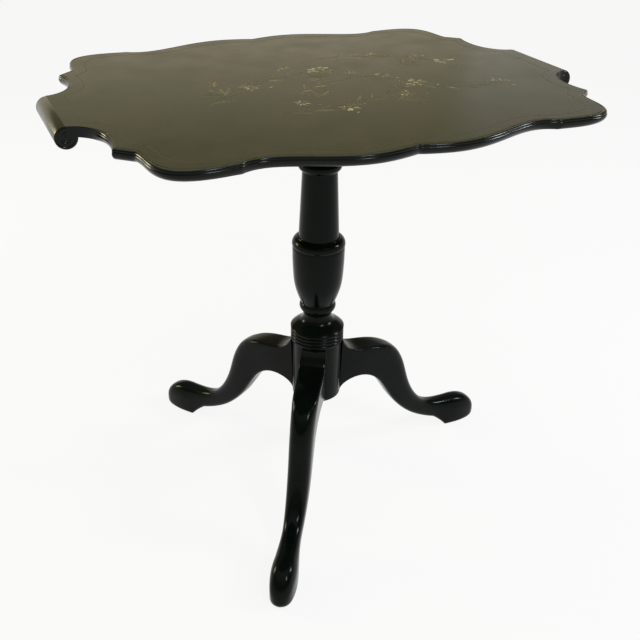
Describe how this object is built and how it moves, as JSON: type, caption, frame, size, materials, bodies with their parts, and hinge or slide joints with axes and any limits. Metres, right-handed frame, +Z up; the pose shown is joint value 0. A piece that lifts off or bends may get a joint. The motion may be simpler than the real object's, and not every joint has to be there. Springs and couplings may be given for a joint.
{
  "type": "tilt-top tea table",
  "caption": "Black lacquered tilt-top tea table with a lobed, scroll-ended top on a turned column and cabriole tripod legs.",
  "frame": {"origin": "on the floor under the column's axis", "axes": "+Z up, +X along the length of the top towards the right scroll, +Y towards the back edge, which rises when the top tilts"},
  "size_m": [0.784, 0.5981, 0.7],
  "materials": {
    "lacquered_top": "aged black lacquer with gilt decoration, satin gloss",
    "lacquered_wood": "black lacquer, gloss",
    "batten_wood": "dark stained wood, matt",
    "block_wood": "dark stained wood, matt",
    "pintle_wood": "bare turned hardwood, matt",
    "screw_steel": "darkened steel",
    "wrought_iron": "blackened iron",
    "catch_brass": "aged brass"
  },
  "bodies": {
    "base": {"column": "lacquered_wood", "block_wedge": "pintle_wood", "tilt_block": "block_wood", "left_pintle": "pintle_wood", "right_pintle": "pintle_wood", "leg_right": "lacquered_wood", "leg_back_left": "lacquered_wood", "leg_front": "lacquered_wood", "spider_plate": "wrought_iron", "spider_screws": "screw_steel", "catch_keeper": "catch_brass", "keeper_screws": "screw_steel"},
    "top": {"top_front_board": "lacquered_top", "top_centre_board": "lacquered_top", "top_back_board": "lacquered_top", "left_scroll": "lacquered_top", "right_scroll": "lacquered_top", "left_batten": "batten_wood", "right_batten": "batten_wood", "batten_screws": "screw_steel", "catch_base": "catch_brass", "catch_screws": "screw_steel", "catch_staples": "catch_brass"},
    "bolt": {"catch_bolt": "catch_brass", "catch_knob": "catch_brass"}
  },
  "joints": [
    {"name": "top_tilt", "type": "hinge", "parent": "base", "child": "top", "pos_m": [0, -0.075, 0.67], "axis": [1, 0, 0], "range_deg": [0, 90]},
    {"name": "bolt_slide", "type": "slide", "parent": "top", "child": "bolt", "axis": [0, -1, 0], "range_m": [0, 0.011]}
  ]
}
